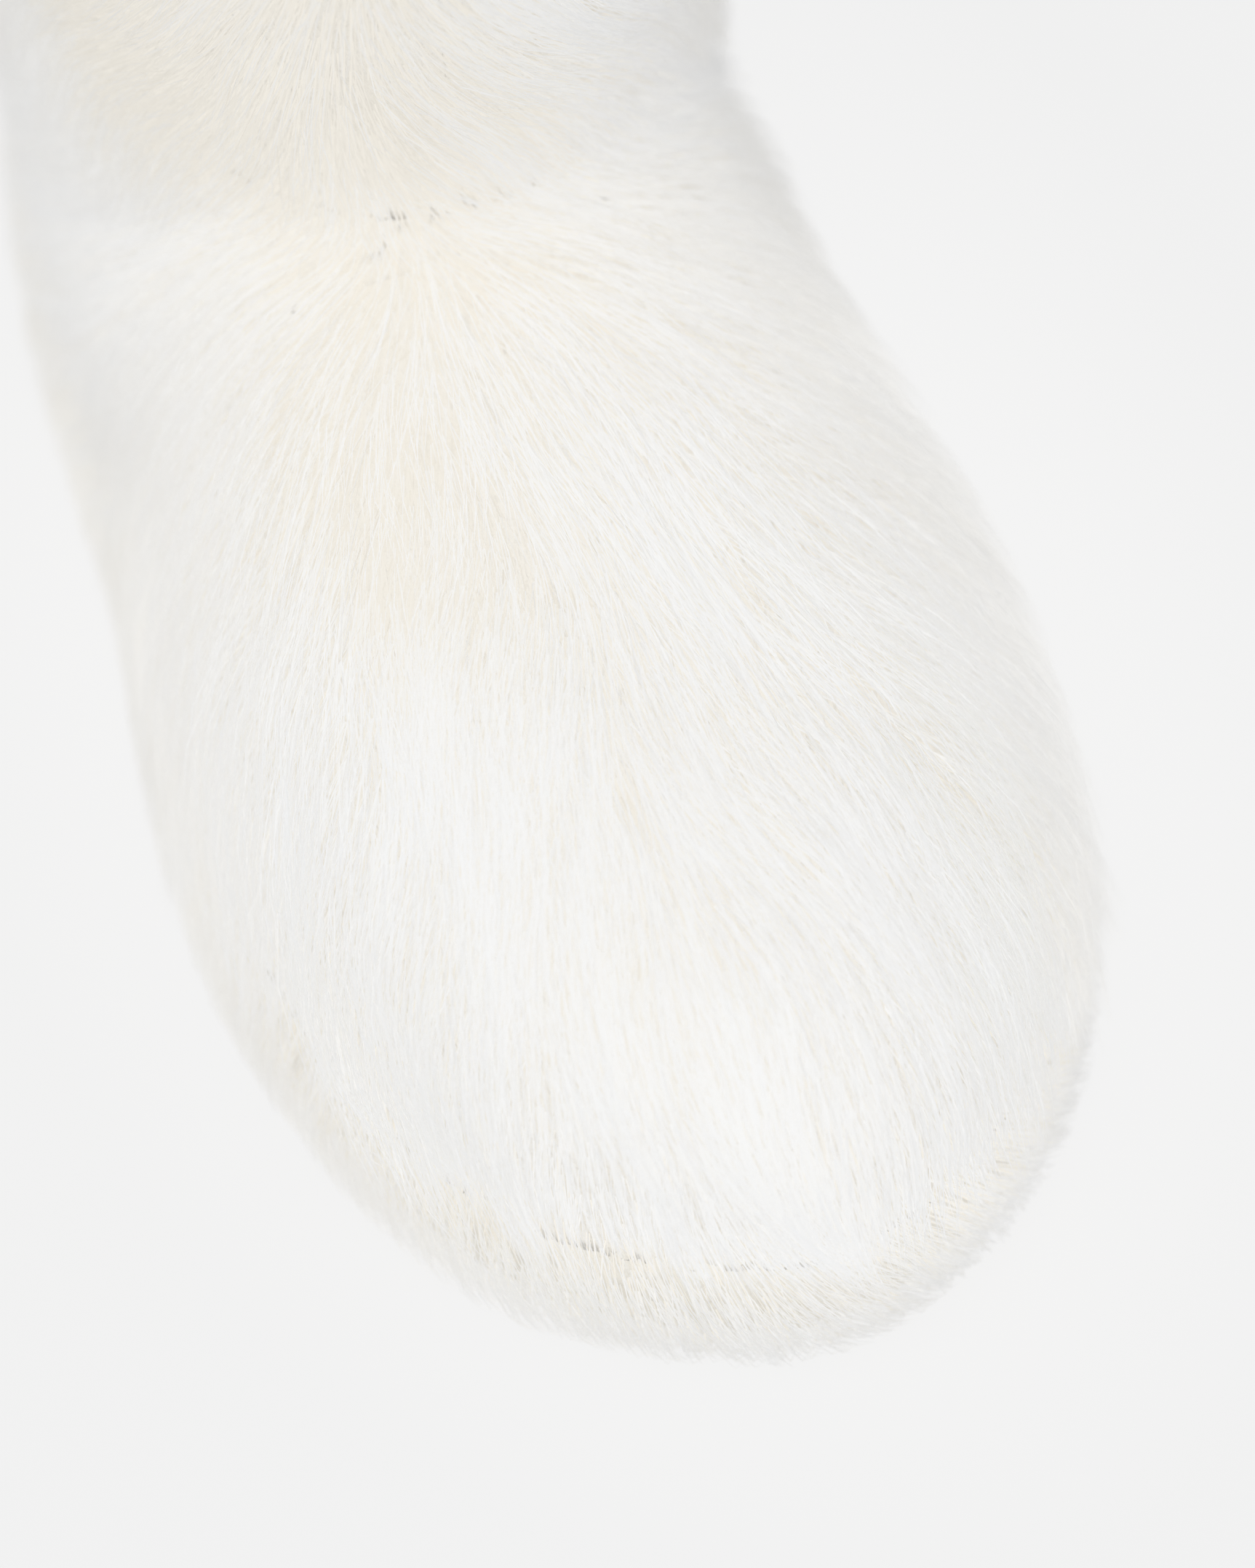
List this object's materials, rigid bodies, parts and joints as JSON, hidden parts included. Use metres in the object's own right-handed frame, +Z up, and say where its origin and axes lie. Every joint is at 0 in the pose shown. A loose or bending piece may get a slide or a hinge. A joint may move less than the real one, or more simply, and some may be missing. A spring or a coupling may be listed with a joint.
{
  "type": "fluffy house slipper",
  "caption": "Closed-toe, ankle-high house slipper in long white artificial fur, on a flat platform sole wrapped in the same fur, with plush lining and a heel pull loop.",
  "frame": {"origin": "on the ground plane, on the ball tread's flat underside, under the middle of the slipper's length", "axes": "+Z up, -Y towards the toe, +X towards the inner (big-toe) side of this right-foot slipper"},
  "size_m": [0.1277, 0.282, 0.1836],
  "materials": {
    "long_fur": "long silky white artificial fur with cream roots",
    "band_fur": "shorter dense cream-white artificial fur",
    "plush_lining": "short looped cream plush",
    "padding_foam": "soft open-cell foam",
    "knit_cloth": "stretch rib knit",
    "webbing": "woven cotton tape",
    "sewing_thread": "twisted polyester thread",
    "label_satin": "blank satin tape",
    "fibre_board": "pressed cellulose insole board",
    "stiffener": "thermoplastic-coated felt",
    "midsole_foam": "moulded EVA foam",
    "tread_rubber": "matt thermoplastic rubber"
  },
  "bodies": {
    "rearfoot": {"ball_tread": "tread_rubber", "heel_tread": "tread_rubber", "midsole": "midsole_foam", "midsole_fur_band": "band_fur", "shank_board": "fibre_board", "memory_foam_footbed": "padding_foam", "plush_sock_liner": "plush_lining", "quarter_fur_inner": "long_fur", "quarter_fur_outer": "long_fur", "quarter_foam": "padding_foam", "quarter_lining": "plush_lining", "heel_counter": "stiffener", "feather_line_stitching": "sewing_thread"},
    "forefoot": {"toe_tread": "tread_rubber", "forefoot_sock_cloth": "knit_cloth", "vamp_fur": "long_fur", "vamp_foam": "padding_foam", "vamp_lining": "plush_lining", "toe_puff": "stiffener"},
    "shaft": {"shaft_fur_inner": "long_fur", "shaft_fur_outer": "long_fur", "shaft_foam": "padding_foam", "shaft_lining": "plush_lining", "collar_binding": "knit_cloth", "care_label": "label_satin"},
    "pull_loop": {"heel_pull_loop": "webbing"}
  },
  "joints": [
    {"name": "ball_flex", "type": "hinge", "parent": "rearfoot", "child": "forefoot", "pos_m": [0, -0.05, 0.0215], "axis": [-1, 0, 0], "range_deg": [0, 30], "stiffness_Nm_per_rad": 1.5, "deforming": ["midsole", "midsole_fur_band", "forefoot_sock_cloth", "memory_foam_footbed", "plush_sock_liner", "vamp_fur", "vamp_foam", "vamp_lining", "feather_line_stitching"]},
    {"name": "shaft_lean", "type": "hinge", "parent": "rearfoot", "child": "shaft", "pos_m": [0, 0.071, 0.09], "axis": [1, 0, 0], "range_deg": [-12, 20], "stiffness_Nm_per_rad": 2.5, "deforming": ["shaft_fur_inner", "shaft_fur_outer", "shaft_foam", "shaft_lining"]},
    {"name": "pull_loop_flop", "type": "hinge", "parent": "shaft", "child": "pull_loop", "pos_m": [0, 0.13125, 0.1596], "axis": [-1, 0, 0], "range_deg": [0, 75], "stiffness_Nm_per_rad": 0.02}
  ]
}
